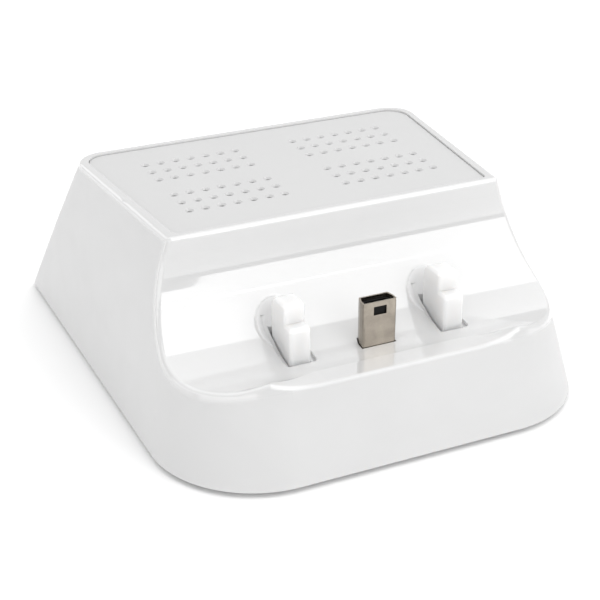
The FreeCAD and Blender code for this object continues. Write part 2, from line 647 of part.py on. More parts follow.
def build_vent_panel():
    """Inlaid panel with four blocks of small dished vent holes."""
    body = new_body("top_vent_panel")
    low_z = S["top_z"] - S["seat_depth"]
    top_z = low_z + S["panel_thick"]
    sketch = new_sketch(body, "panel_plan", "XY_Plane", low_z)
    seat_outline(sketch, S["panel_gap"])
    extrude(body, "Pad", "panel", sketch, S["panel_thick"])
    doc.recompute()
    before = body.Tip.Shape.Volume
    blocks = list(vent_blocks())
    x0, y0, width, depth = blocks[-1]
    half_view = new_sketch(body, "vent_half", "XZ_Plane", -y0)
    line = Part.LineSegment(Vector(x0.value, 0, 0), Vector(x0.value, top_z.value, 0))
    axis = half_view.addGeometry(line, True)
    fix_point(half_view, axis, 1, (x0, ZERO))
    fix_point(half_view, axis, 2, (x0, S["top_z"]))
    over = S["overrun"]
    polygon(half_view, [(x0, low_z - over), (x0 + S["vent_radius"], low_z - over),
                        (x0 + S["vent_radius"], top_z - S["vent_dish"]), (x0 + S["vent_mouth"], top_z),
                        (x0 + S["vent_mouth"], top_z + over), (x0, top_z + over)])
    vent = body.newObject("PartDesign::Groove", "vent")
    vent.Profile = half_view
    vent.ReferenceAxis = (half_view, ["Axis0"])
    vent.Angle = 360
    body.Tip = vent
    volume_after(vent, before, grows=False)
    steps = [("X_Axis", width, VENT_COLUMNS), ("Y_Axis", depth, VENT_ROWS),
             ("X_Axis", width + S["vent_inner_x"] * 2, 2), ("Y_Axis", depth + S["vent_inner_y"] * 2, 2)]
    rows = body.newObject("PartDesign::MultiTransform", "vent_rows")
    rows.Originals = [vent]
    patterns = []
    for i, (role, length, count) in enumerate(steps):
        pattern = body.newObject("PartDesign::LinearPattern", "vent_step_%d" % i)
        line = [item for item in body.Origin.OriginFeatures if item.Role == role][0]
        pattern.Direction = (line, [""])
        bind(pattern, "Length", length)
        pattern.Occurrences = count
        patterns.append(pattern)
    rows.Transformations = patterns
    body.Tip = rows
    volume_after(rows, vent.Shape.Volume, grows=False)
    node("top_vent_panel", body)


# ---------------------------------------------------------------- base plate and feet

def foot_spots():
    for name, x, y in (("front_left", -S["foot_front_x"], -S["foot_front_y"]),
                       ("front_right", S["foot_front_x"], -S["foot_front_y"]),
                       ("back_left", -S["foot_back_x"], S["foot_back_y"]),
                       ("back_right", S["foot_back_x"], S["foot_back_y"])):
        yield name, x, y


def standoff_spots():
    for side in (1, -1):
        yield S["standoff_x"] * side, -S["standoff_front"]
        yield S["standoff_x"] * side, S["standoff_back"]


def cheek_ranges():
    """X ranges of the two cheeks beside each lever."""
    inner = S["post_width"] / 2 + S["cheek_gap"]
    for side, x in post_sides():
        yield x - inner - S["cheek_thick"], x - inner
        yield x + inner, x + inner + S["cheek_thick"]


def build_base_plate():
    body = shell_form("base_plate", S["wall"] + S["plate_gap"])
    far = S["far"]
    cut_from_above(body, "plate_top", draw_all, S["plate_top_z"])

    def pad(name, length, draw):
        before = body.Tip.Shape.Volume
        sketch = new_sketch(body, name + "_plan", "XY_Plane", S["plate_top_z"])
        draw(sketch)
        volume_after(extrude(body, "Pad", name, sketch, length), before, grows=True)

    def pocket(name, level, length, draw, upward):
        before = body.Tip.Shape.Volume
        sketch = new_sketch(body, name + "_plan", "XY_Plane", level)
        draw(sketch)
        volume_after(extrude(body, "Pocket", name, sketch, length, reverse=upward), before, grows=False)

    def draw_standoffs(sketch):
        for spot in standoff_spots():
            circle(sketch, spot, S["standoff_radius"])
        circle(sketch, (ZERO, -S["tongue_rest_y"]), S["standoff_radius"])

    def draw_cheeks(sketch):
        for x0, x1 in cheek_ranges():
            rectangle(sketch, x0, x1, -S["pivot_y"] - S["barrel_radius"], -S["pivot_y"] + S["barrel_radius"])

    def draw_pegs(sketch):
        for side, x in post_sides():
            circle(sketch, (x, -S["spring_y"]), S["peg_radius"])

    def draw_circles(spots, radius):
        def draw(sketch):
            for spot in spots:
                circle(sketch, spot, radius)
        return draw

    pad("standoffs", S["board_z"] - S["plate_top_z"], draw_standoffs)
    pad("cheeks", S["cheek_top_z"] - S["plate_top_z"], draw_cheeks)
    pad("pegs", S["peg_height"], draw_pegs)
    feet = [(x, y) for name, x, y in foot_spots()]
    pocket("foot_seats", S["base_z"], S["foot_seat"], draw_circles(feet, S["foot_radius"]), True)
    screws = list(boss_spots())
    pocket("counterbores", S["base_z"], S["counterbore_deep"], draw_circles(screws, S["counterbore"]), True)
    through = S["plate_top_z"] - S["base_z"]
    pocket("screw_holes", S["base_z"], through, draw_circles(screws, S["screw_hole"]), True)
    pocket("board_pilots", S["board_z"], S["board_z"] - S["board_pilot_z"],
           draw_circles(list(standoff_spots()), S["board_pilot"]), False)
    before = body.Tip.Shape.Volume
    sketch = new_sketch(body, "pivot_side", "YZ_Plane")
    circle(sketch, (-S["pivot_y"], S["pivot_z"]), S["pin_radius"])
    bores = extrude(body, "Pocket", "pivot_bores", sketch, far * 2, symmetric=True)
    volume_after(bores, before, grows=False)
    node("base_plate", body)


def build_feet():
    for name, x, y in foot_spots():
        label = "foot_" + name
        radius = S["foot_radius"] - S["foot_gap"]
        foot = cylinder(label + "_disc", (x, y, ZERO), radius, S["base_z"] + S["foot_seat"])
        doc.recompute()
        rounded = doc.addObject("Part::Chamfer", label)
        rounded.Base = foot
        rims = [i + 1 for i, edge in enumerate(foot.Shape.Edges) if edge.BoundBox.ZMax < TINY]
        size = S["foot_chamfer"].value
        rounded.Edges = [(rim, size, size) for rim in rims]
        node(label, rounded)


def cross_drive(name, x, y, low_z, high_z):
    """Cross-shaped recess in a screw head."""
    long, short = S["drive_half"], S["drive_half_width"]
    return fuse(name, [box(name + "_bar", x - long, x + long, y - short, y + short, low_z, high_z),
                       box(name + "_post", x - short, x + short, y - long, y + long, low_z, high_z)])


def build_base_screws():
    solids = []
    head_z = S["base_z"] + S["counterbore_deep"] - S["screw_head_thick"]
    seat_z = S["base_z"] + S["counterbore_deep"]
    for i, (x, y) in enumerate(boss_spots()):
        head = cylinder("screw_head_%d" % i, (x, y, head_z), S["screw_head"], S["screw_head_thick"])
        shank = cylinder("screw_shank_%d" % i, (x, y, seat_z), S["screw_radius"], S["screw_end_z"] - seat_z)
        whole = fuse("screw_blank_%d" % i, [head, shank])
        drive = cross_drive("screw_drive_%d" % i, x, y, head_z, head_z + S["drive_deep"])
        solids.append(cut("screw_%d" % i, whole, drive))
    node("base_screws", fuse("base_screws", solids))


# ---------------------------------------------------------------- guide levers

def build_lever(side, x):
    """Guide post, its foot round the pivot and the tail the spring pushes up."""
    name = "guide_lever_" + side
    body = new_body(name)
    sketch = new_sketch(body, name + "_side", "YZ_Plane", x)
    barrel = S["barrel_radius"]
    polygon(sketch, [
        (-S["column_front"], S["post_low_z"]), (-S["web_front"], S["pivot_z"]),
        (-S["pivot_y"], S["tail_low_z"]), (-S["tail_end"], S["tail_low_z"]),
        (-S["tail_end"], S["tail_top_z"]),
        (-S["tail_start"], S["tail_top_z"]), (-S["post_rear"], S["post_foot_z"]),
        (-S["post_rear"], S["post_top_z"]), (-S["step_y"], S["post_top_z"]), (-S["step_y"], S["ledge_z"]),
        (-S["column_top_front"], S["ledge_z"])])
    extrude(body, "Pad", name + "_web", sketch, S["post_width"], symmetric=True)
    doc.recompute()
    for label, y, z, radius in (("ledge", S["column_top_front"], S["ledge_z"], S["ledge_round"]),
                                ("crown", S["step_y"], S["post_top_z"], S["crown_round"]),
                                ("shoulder", S["post_rear"], S["post_top_z"], S["shoulder_round"])):
        base = body.Tip
        edges = edges_where(base.Shape, lambda edge: all(
            math.hypot(point.y + y.value, point.z - z.value) < TINY for point in edge_points(edge)))
        rounded = dress(body, "Fillet", "%s_%s" % (name, label), base, edges, radius)
        volume_after(rounded, base.Shape.Volume, grows=False)
    base = body.Tip
    low = (S["post_foot_z"] + S["overrun"]).value
    edges = edges_where(base.Shape, lambda edge: edge.BoundBox.XLength < TINY and edge.BoundBox.ZMax > low)
    rounded = dress(body, "Fillet", name + "_sides", base, edges, S["post_round"])
    volume_after(rounded, base.Shape.Volume, grows=False)
    before = body.Tip.Shape.Volume
    sketch = new_sketch(body, name + "_barrel_side", "YZ_Plane", x)
    circle(sketch, (-S["pivot_y"], S["pivot_z"]), barrel)
    round_foot = extrude(body, "Pad", name + "_barrel", sketch, S["post_width"], symmetric=True)
    volume_after(round_foot, before, grows=True)
    before = body.Tip.Shape.Volume
    sketch = new_sketch(body, name + "_bore_side", "YZ_Plane", x)
    circle(sketch, (-S["pivot_y"], S["pivot_z"]), S["bore_radius"])
    bore = extrude(body, "Pocket", name + "_bore", sketch, S["post_width"] * 2, symmetric=True)
    volume_after(bore, before, grows=False)
    node(name, body)


def build_pin(side, x):
    half = S["post_width"] / 2 + S["cheek_gap"] + S["cheek_thick"]
    name = "pivot_pin_" + side
    node(name, cylinder(name, (x - half, -S["pivot_y"], S["pivot_z"]), S["pin_radius"], half * 2, "x"))


def build_spring(side, x):
    """Small coil spring standing on the base plate under the lever's tail."""
    name = "return_spring_" + side
    body = new_body(name)
    wire = S["spring_wire"]
    low_z = S["plate_top_z"] + wire + S["spring_gap"]
    high_z = S["tail_low_z"] - wire - S["spring_gap"]
    sketch = new_sketch(body, name + "_wire", "XZ_Plane", S["spring_y"])
    ends = ((x, low_z), (x, high_z))
    axis = sketch.addGeometry(Part.LineSegment(flat(ends[0]), flat(ends[1])), True)
    for point, spot in enumerate(ends, start=1):
        fix_point(sketch, axis, point, spot)
    circle(sketch, (x + S["spring_radius"], low_z), wire)
    coil = body.newObject("PartDesign::AdditiveHelix", name + "_coil")
    coil.Profile = sketch
    coil.ReferenceAxis = (sketch, ["Axis0"])
    coil.Mode = "pitch-turns-angle"
    bind(coil, "Pitch", (high_z - low_z) / S["spring_turns"])
    bind(coil, "Turns", S["spring_turns"])
    body.Tip = coil
    node(name, body)


# ---------------------------------------------------------------- plug

def build_plug_shell():
    body = new_body("plug_shell")
    sketch = new_sketch(body, "plug_plan", "XY_Plane", S["plug_low_z"])
    plug_outline(sketch, 0)
    plug_outline(sketch, -S["plug_sheet"])
    tube = extrude(body, "Pad", "plug_tube", sketch, S["plug_top_z"] - S["plug_low_z"])
    doc.recompute()
    bends = edges_where(tube.Shape, plug_bend)
    rounded = dress(body, "Fillet", "plug_bends", tube, bends, S["plug_round"])
    volume_after(rounded, tube.Shape.Volume, grows=False)
    before = body.Tip.Shape.Volume
    sketch = new_sketch(body, "plug_window_front", "XZ_Plane", S["plug_front"] + S["overrun"])
    half = S["plug_window_half"]
    rectangle(sketch, -half, half, S["plug_window_low"], S["plug_window_high"])
    window = extrude(body, "Pocket", "plug_window", sketch, S["plug_window_deep"])
    volume_after(window, before, grows=False)
    node("plug_shell", body)


def plug_bend(edge):
    """Whether an edge is one of the plug's four outer upright corners."""
    room = edge.BoundBox
    front, back = -S["plug_front"].value, (S["plug_depth"] - S["plug_front"]).value
    at_front = abs(abs(room.XMin) - S["plug_half"].value) < TINY and abs(room.YMin - front) < TINY
    at_back = abs(abs(room.XMin) - S["plug_half_back"].value) < TINY and abs(room.YMin - back) < TINY
    return room.XLength < TINY and room.YLength < TINY and (at_front or at_back)


def contact_slot(sketch):
    half = S["contact_pitch"] * (CONTACTS - 1) / 2 + S["contact_width"] / 2 + S["contact_side_gap"]
    deep = S["contact_slot"] / 2
    rectangle(sketch, -half, half, -S["contact_y"] - deep, -S["contact_y"] + deep)


def build_plug_insulator():
    body = new_body("plug_insulator")
    sketch = new_sketch(body, "insulator_plan", "XY_Plane", S["plug_low_z"])
    plug_outline(sketch, -S["plug_sheet"] - S["insulator_gap"])
    contact_slot(sketch)
    extrude(body, "Pad", "insulator", sketch, S["plug_top_z"] - S["insulator_drop"] - S["plug_low_z"])
    node("plug_insulator", body)


def build_plug_carrier():
    body = new_body("plug_carrier")
    board_top = S["board_z"] + S["board_thick"]
    sketch = new_sketch(body, "carrier_plan", "XY_Plane", board_top)
    half = S["carrier_half"]
    rectangle(sketch, -half, half, -S["carrier_front"], -S["carrier_back"])
    contact_slot(sketch)
    extrude(body, "Pad", "carrier", sketch, S["plug_low_z"] - board_top)
    node("plug_carrier", body)


def build_plug_contacts():
    strips = []
    board_top = S["board_z"] + S["board_thick"]
    for i in range(CONTACTS):
        x = S["contact_pitch"] * (i - (CONTACTS - 1) / 2)
        half, deep = S["contact_width"] / 2, S["contact_thick"] / 2
        strips.append(box("contact_%d" % i, x - half, x + half, -S["contact_y"] - deep,
                          -S["contact_y"] + deep, board_top, S["plug_top_z"] - S["contact_drop"]))
    node("plug_contacts", fuse("plug_contacts", strips))


# ---------------------------------------------------------------- circuit board

def build_board():
    body = new_body("main_board")
    sketch = new_sketch(body, "board_plan", "XY_Plane", S["board_z"])
    wide, narrow = S["board_half"], S["tongue_half"]
    polygon(sketch, [(-wide, -S["board_front"]), (-narrow, -S["board_front"]), (-narrow, -S["tongue_front"]),
                     (narrow, -S["tongue_front"]), (narrow, -S["board_front"]), (wide, -S["board_front"]),
                     (wide, S["board_back"]), (-wide, S["board_back"])])
    for spot in standoff_spots():
        circle(sketch, spot, S["board_hole"])
    extrude(body, "Pad", "board", sketch, S["board_thick"])
    node("main_board", body)


def build_board_screws():
    solids = []
    seat_z = S["board_z"] + S["board_thick"]
    for i, (x, y) in enumerate(standoff_spots()):
        head = cylinder("board_head_%d" % i, (x, y, seat_z), S["board_head"], S["board_head_thick"])
        shank = cylinder("board_shank_%d" % i, (x, y, S["board_screw_end"]), S["board_screw"],
                         seat_z - S["board_screw_end"])
        top_z = seat_z + S["board_head_thick"]
        drive = cross_drive("board_drive_%d" % i, x, y, top_z - S["drive_deep"], top_z)
        solids.append(cut("board_screw_%d" % i, fuse("board_blank_%d" % i, [head, shank]), drive))
    node("board_screws", fuse("board_screws", solids))


def build_board_parts():
    board_top = S["board_z"] + S["board_thick"]
    half = S["chip_half"]
    node("main_chip", box("main_chip", -S["chip_x"] - half, -S["chip_x"] + half, S["chip_y"] - half,
                          S["chip_y"] + half, board_top, board_top + S["chip_thick"]))
    cans = [cylinder("can_%d" % i, (S["can_x"], S["can_y"] + S["can_step"] * i, board_top), S["can_radius"],
                     S["can_high"]) for i in range(CANS)]
    node("capacitors", fuse("capacitors", cans))


# ---------------------------------------------------------------- sockets in the back

def build_usb_socket():
    board_top = S["board_z"] + S["board_thick"]
    sheet_thick = S["usb_sheet"]
    x, half = S["usb_x"], S["usb_half"]
    inner, mouth = S["usb_inner"], S["usb_mouth"]
    high_z = board_top + S["usb_high"]
    block = box("usb_block", x - half, x + half, inner, mouth, board_top, high_z)
    hollow = box("usb_hollow", x - half + sheet_thick, x + half - sheet_thick, inner + sheet_thick,
                 mouth + S["overrun"], board_top + sheet_thick, high_z - sheet_thick)
    node("usb_socket_shell", cut("usb_socket_shell", block, hollow))
    margin = sheet_thick + S["insulator_gap"]
    back = box("usb_back", x - half + margin, x + half - margin, inner + margin,
               inner + S["usb_block"], board_top + margin, high_z - margin)
    middle = board_top + S["usb_high"] / 2
    thick = S["usb_tongue_thick"] / 2
    tongue = box("usb_tongue", x - S["usb_tongue_half"], x + S["usb_tongue_half"], inner + S["usb_block"],
                 S["usb_tongue_end"], middle - thick, middle + thick)
    node("usb_socket_insulator", fuse("usb_socket_insulator", [back, tongue]))


def build_power_jack():
    board_top = S["board_z"] + S["board_thick"]
    x, half = -S["jack_x"], S["jack_half"]
    middle = board_top + S["jack_high"] / 2
    block = box("jack_block", x - half, x + half, S["jack_inner"], S["jack_mouth"], board_top,
                board_top + S["jack_high"])
    bore = cylinder("jack_bore_cut", (x, S["jack_mouth"] - S["jack_deep"], middle), S["jack_bore"],
                    S["jack_deep"] + S["overrun"], "y")
    node("power_jack_body", cut("power_jack_body", block, bore))
    bottom = (x, S["jack_mouth"] - S["jack_deep"], middle)
    length = S["jack_deep"] - S["jack_pin_back"]
    node("power_jack_pin", cylinder("power_jack_pin", bottom, S["jack_pin"], length, "y"))


def check_and_write():
    doc.recompute()
    for obj in doc.Objects:
        if "Invalid" in obj.State or "Error" in obj.State:
            raise RuntimeError("%s is %s" % (obj.Name, obj.State))
    os.makedirs("parts", exist_ok=True)
    for name, obj in NODES.items():
        shape = obj.Shape
        if shape.isNull() or not shape.isValid() or shape.Volume <= 0:
            raise RuntimeError("%s has no valid shape" % name)
        shape.exportStep("parts/%s.step" % name)
        print("%-24s %2d solids %10.2f mm3" % (name, len(shape.Solids), shape.Volume))


build_housing()
build_vent_panel()
build_base_plate()
build_feet()
build_base_screws()
for side, x in post_sides():
    build_lever(side, x)
    build_pin(side, x)
    build_spring(side, x)
build_plug_shell()
build_plug_insulator()
build_plug_carrier()
build_plug_contacts()
build_board()
build_board_screws()
build_board_parts()
build_usb_socket()
build_power_jack()
check_and_write()
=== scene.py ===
import json
import math

import bpy
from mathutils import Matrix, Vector


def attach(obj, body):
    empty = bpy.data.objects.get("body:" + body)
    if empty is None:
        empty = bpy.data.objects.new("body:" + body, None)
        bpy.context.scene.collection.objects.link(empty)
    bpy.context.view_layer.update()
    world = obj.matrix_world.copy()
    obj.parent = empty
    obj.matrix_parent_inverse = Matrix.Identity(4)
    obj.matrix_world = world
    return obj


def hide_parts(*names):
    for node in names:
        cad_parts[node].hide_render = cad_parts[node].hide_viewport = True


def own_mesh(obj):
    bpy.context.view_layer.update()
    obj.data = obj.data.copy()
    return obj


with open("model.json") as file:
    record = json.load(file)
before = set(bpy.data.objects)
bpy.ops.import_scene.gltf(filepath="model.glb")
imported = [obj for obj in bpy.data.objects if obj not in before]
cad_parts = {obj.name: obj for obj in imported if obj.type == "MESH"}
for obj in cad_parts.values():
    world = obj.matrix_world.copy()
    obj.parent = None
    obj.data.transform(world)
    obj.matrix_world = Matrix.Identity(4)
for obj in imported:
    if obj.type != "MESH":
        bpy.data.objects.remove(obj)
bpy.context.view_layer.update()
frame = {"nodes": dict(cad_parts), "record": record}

MM = 0.001

# The cradle channel's axis, and the middle of the recess beside the right guide, in the row frame.
CHANNEL_Y, CHANNEL_Z = -36.8 * MM, 34.3 * MM
RECESS_MIDDLE = (15.7 * MM, -29.5 * MM, 20.5 * MM)

# Where the shell's finish and the painted light in its recesses fade over: radii from the channel's
# axis, heights, and distances from the middle of the recess.
CHANNEL_POLISH_ENDS = (18.3 * MM, 19.3 * MM)
BORDER_POLISH_STARTS = (36.4 * MM, 37.2 * MM)
RECESS_ENDS = (7.5 * MM, 8.5 * MM)
RECESS_STARTS = (17.50 * MM, 17.58 * MM)
RECESS_PAINTED_LIGHT_DEEPENS = (17.50 * MM, 18.20 * MM)

# The camera solved from the photo's straight edges.
CAMERA_PLACE = (-0.10673, -0.23234, 0.14033)
CAMERA_AIM = (0.3728, 0.8084, -0.4555)
CAMERA_LENS_MM = 83.72
SENSOR_WIDTH_MM = 36.0

# Noise stays between these values nearly everywhere.
NOISE_SPAN = (0.3, 0.7)

# A Mix node repeats the names of its sockets, so they are picked by number.
MIX_FACTOR = 0
FLOAT_FIRST, FLOAT_SECOND, FLOAT_RESULT = 2, 3, 0
COLOUR_FIRST, COLOUR_SECOND, COLOUR_RESULT = 6, 7, 2


def grey(level):
    return (level, level, level)


# Painted light: paler than the shell, lifting the shade in the recesses beside the guides, with less of
# it towards their depth.
RECESS_EDGE_PAINTED_LIGHT = grey(0.83)
RECESS_DEPTH_PAINTED_LIGHT = grey(0.69)


# ---------------------------------------------------------------- materials

class Graph:
    """A short way to write one material's node tree."""

    def __init__(self, name):
        self.material = bpy.data.materials.new(name)
        self.material.use_nodes = True
        self.tree = self.material.node_tree
        self.shader = self.tree.nodes["Principled BSDF"]
        self.where = self.tree.nodes.new("ShaderNodeTexCoord").outputs["Object"]

    def node(self, kind, **settings):
        made = self.tree.nodes.new("ShaderNode" + kind)
        for key, value in settings.items():
            setattr(made, key, value)
        return made

    def link(self, source, target):
        self.tree.links.new(source, target)

    def feed(self, value, target):
        """Give target a value, which is a socket, a colour or a number."""
        if isinstance(value, bpy.types.NodeSocket):
            self.link(value, target)
        elif isinstance(value, tuple):
            target.default_value = (*value, 1.0)
        else:
            target.default_value = value

    def noise(self, size_mm, detail=3.0, roughness=0.5, stretch=None, distortion=0.0):
        """Noise whose features are about size_mm across. It returns the factor output."""
        made = self.node("TexNoise")
        made.inputs["Scale"].default_value = 1.0 / (size_mm * MM)
        made.inputs["Detail"].default_value = detail
        made.inputs["Roughness"].default_value = roughness
        made.inputs["Distortion"].default_value = distortion
        self.link(self.stretched(stretch), made.inputs["Vector"])
        return made.outputs["Fac"]

    def cells(self, size_mm):
        """Distance to the nearest of scattered points about size_mm apart."""
        made = self.node("TexVoronoi", feature="F1")
        made.inputs["Scale"].default_value = 1.0 / (size_mm * MM)
        self.link(self.where, made.inputs["Vector"])
        return made.outputs["Distance"]

    def stretched(self, stretch):
        """The place, with each coordinate multiplied by stretch if there is one."""
        if stretch is None:
            return self.where
        made = self.node("Mapping")
        made.inputs["Scale"].default_value = stretch
        self.link(self.where, made.inputs["Vector"])
        return made.outputs["Vector"]

    def remap(self, source, low, high, start=0.0, end=1.0):
        """Source as it runs from low to high, turned into a run from start to end."""
        made = self.node("MapRange")
        made.inputs["From Min"].default_value = low
        made.inputs["From Max"].default_value = high
        made.inputs["To Min"].default_value = start
        made.inputs["To Max"].default_value = end
        self.link(source, made.inputs["Value"])
        return made.outputs["Result"]

    def blended(self, factor, first, second):
        """Value between first and second; each is a number or a socket."""
        made = self.node("Mix", data_type="FLOAT")
        self.feed(first, made.inputs[FLOAT_FIRST])
        self.feed(second, made.inputs[FLOAT_SECOND])
        self.link(factor, made.inputs[MIX_FACTOR])
        return made.outputs[FLOAT_RESULT]

    def mixed(self, factor, first, second):
        """Colour between first and second; each is a colour or a socket."""
        made = self.node("Mix", data_type="RGBA")
        self.feed(first, made.inputs[COLOUR_FIRST])
        self.feed(second, made.inputs[COLOUR_SECOND])
        self.link(factor, made.inputs[MIX_FACTOR])
        return made.outputs[COLOUR_RESULT]

    def maths(self, operation, *values):
        made = self.node("Math", operation=operation)
        for value, target in zip(values, made.inputs):
            self.feed(value, target)
        return made.outputs["Value"]

    def distance(self, place, scale, point):
        """Distance of a place in the row frame from point, with each coordinate scaled first."""
        scaled = self.node("VectorMath", operation="MULTIPLY")
        scaled.inputs[1].default_value = scale
        self.link(place, scaled.inputs[0])
        away = self.node("VectorMath", operation="DISTANCE")
        away.inputs[1].default_value = point
        self.link(scaled.outputs["Vector"], away.inputs[0])
        return away.outputs["Value"]

    def coordinates(self):
        split = self.node("SeparateXYZ")
        self.link(self.where, split.inputs["Vector"])
        return split.outputs["X"], split.outputs["Y"], split.outputs["Z"]

    def right_half(self):
        """The place with x made positive, so that the right side's shapes serve for the left too."""
        x, y, z = self.coordinates()
        joined = self.node("CombineXYZ")
        self.link(self.maths("ABSOLUTE", x), joined.inputs["X"])
        self.link(y, joined.inputs["Y"])
        self.link(z, joined.inputs["Z"])
        return joined.outputs["Vector"]

    def channel_radius(self):
        """Distance from the axis of the cradle channel."""
        return self.distance(self.where, (0.0, 1.0, 1.0), (0.0, CHANNEL_Y, CHANNEL_Z))

    def recessed(self):
        """1 in the two shallow recesses beside the guides, 0 elsewhere."""
        away = self.distance(self.right_half(), (1.0, 1.0, 1.0), RECESS_MIDDLE)
        beside_guide = self.remap(away, *RECESS_ENDS, start=1.0, end=0.0)
        sunk = self.remap(self.channel_radius(), *RECESS_STARTS)
        return self.maths("MULTIPLY", beside_guide, sunk)

    def recess_painted_light(self):
        """Painted light in a recess: paler than the shell, with less of it from the recess's edge down
        to its depth.
        """
        depth = self.remap(self.channel_radius(), *RECESS_PAINTED_LIGHT_DEEPENS)
        return self.mixed(depth, RECESS_EDGE_PAINTED_LIGHT, RECESS_DEPTH_PAINTED_LIGHT)

    def polished(self, recessed):
        """1 in the cradle channel and on the top's border, 0 on the outer walls and where recessed."""
        channel = self.remap(self.channel_radius(), *CHANNEL_POLISH_ENDS, start=1.0, end=0.0)
        height = self.coordinates()[2]
        border = self.remap(height, *BORDER_POLISH_STARTS)
        return self.maths("SUBTRACT", self.maths("MAXIMUM", channel, border), recessed)

    def bump(self, layers):
        """Layers of (height socket, strength, depth in mm), one over another."""
        below = None
        for height, strength, depth_mm in layers:
            made = self.node("Bump")
            made.inputs["Strength"].default_value = strength
            made.inputs["Distance"].default_value = depth_mm * MM
            self.link(height, made.inputs["Height"])
            if below is not None:
                self.link(below, made.inputs["Normal"])
            below = made.outputs["Normal"]
        self.link(below, self.shader.inputs["Normal"])

    def colour(self, source):
        self.link(source, self.shader.inputs["Base Color"])

    def roughness(self, source):
        self.link(source, self.shader.inputs["Roughness"])

    def fixed(self, **values):
        """Set the shader's own sockets. An underscore in a key stands for a space."""
        for key, value in values.items():
            self.shader.inputs[key.replace("_", " ")].default_value = value


def moulded_plastic(name, light, dark, gloss, grain_mm, grain_depth_mm,
                    coat=0.0, scatter=0.0, bleed_mm=1.2, satin=None):
    """Moulded plastic: flow marks in the colour, uneven gloss, a wavy skin and a fine grain.

    With satin, only the polished places keep their gloss and coat, and the rest is that rough; the
    recesses beside the guides also get painted light in their colour.
    """
    g = Graph(name)
    flow = g.noise(26.0, detail=4.0, roughness=0.55, stretch=(1.0, 0.55, 1.6), distortion=0.6)
    cloud = g.noise(6.0)
    tone = g.mixed(g.remap(flow, *NOISE_SPAN), dark, light)
    shine = g.remap(cloud, *NOISE_SPAN, *gloss)
    g.fixed(IOR=1.53, Coat_Weight=coat, Coat_Roughness=0.03, Coat_IOR=2.1)
    if satin:
        recessed = g.recessed()
        # Painted light: the recesses beside the guides are given a paler colour that lifts their shade.
        tone = g.mixed(recessed, tone, g.recess_painted_light())
        polished = g.polished(recessed)
        shine = g.blended(polished, g.remap(cloud, *NOISE_SPAN, *satin), shine)
        g.link(g.blended(polished, 0.0, coat), g.shader.inputs["Coat Weight"])
    g.colour(tone)
    g.roughness(shine)
    skin = g.noise(4.2, detail=1.0, roughness=0.4)
    grain = g.noise(grain_mm, detail=2.0, roughness=0.6)
    g.bump([(skin, 0.35, 0.010), (grain, 0.5, grain_depth_mm)])
    if scatter:
        g.fixed(Subsurface_Weight=scatter, Subsurface_Scale=bleed_mm * MM)
        g.fixed(Subsurface_Radius=(1.0, 0.95, 0.9))
    return g.material


def rubber(name):
    """Matt rubber with a grain and small pits."""
    g = Graph(name)
    cloud = g.noise(2.4, detail=4.0)
    g.colour(g.mixed(g.remap(cloud, *NOISE_SPAN), (0.30, 0.30, 0.31), (0.42, 0.42, 0.43)))
    g.roughness(g.remap(cloud, *NOISE_SPAN, start=0.62, end=0.8))
    g.bump([(g.noise(0.25), 0.6, 0.03), (g.cells(0.6), 0.3, 0.03)])
    return g.material


def metal(name, light, dark, gloss, brush, brush_mm=0.15):
    """Plated or turned metal: fine lines along one direction, clouded plating, faint stains."""
    g = Graph(name)
    lines = g.noise(brush_mm, roughness=0.6, stretch=brush)
    stain = g.noise(3.0, detail=4.0, roughness=0.6, distortion=0.8)
    g.colour(g.mixed(g.remap(stain, 0.35, 0.75), light, dark))
    g.roughness(g.remap(lines, *NOISE_SPAN, *gloss))
    g.bump([(lines, 0.35, 0.004), (stain, 0.2, 0.01)])
    g.fixed(Metallic=1.0)
    return g.material


def board(name):
    """Solder mask over copper tracks: the tracks show as slightly paler, raised lines."""
    g = Graph(name)
    bricks = g.node("TexBrick")
    bricks.inputs["Scale"].default_value = 260.0
    bricks.inputs["Mortar Size"].default_value = 0.07
    bricks.inputs["Mortar Smooth"].default_value = 0.2
    g.link(g.where, bricks.inputs["Vector"])
    tracks = bricks.outputs["Fac"]
    cloud = g.noise(9.0)
    mask = g.mixed(g.remap(cloud, *NOISE_SPAN), (0.010, 0.085, 0.032), (0.016, 0.120, 0.045))
    g.colour(g.mixed(tracks, mask, (0.030, 0.200, 0.080)))
    g.roughness(g.remap(cloud, *NOISE_SPAN, start=0.28, end=0.42))
    g.bump([(tracks, 0.6, 0.035), (g.noise(0.5, detail=2.0), 0.3, 0.01)])
    return g.material


def dark_plastic(name, light, dark, gloss, grain_mm):
    """Unpolished black plastic with a low index, so that it stays dark under the bright tent."""
    g = Graph(name)
    cloud = g.noise(5.0, detail=4.0, roughness=0.6)
    g.colour(g.mixed(g.remap(cloud, *NOISE_SPAN), dark, light))
    g.roughness(g.remap(cloud, *NOISE_SPAN, *gloss))
    g.bump([(g.noise(grain_mm, roughness=0.6), 0.5, 0.02)])
    g.fixed(IOR=1.22)
    return g.material


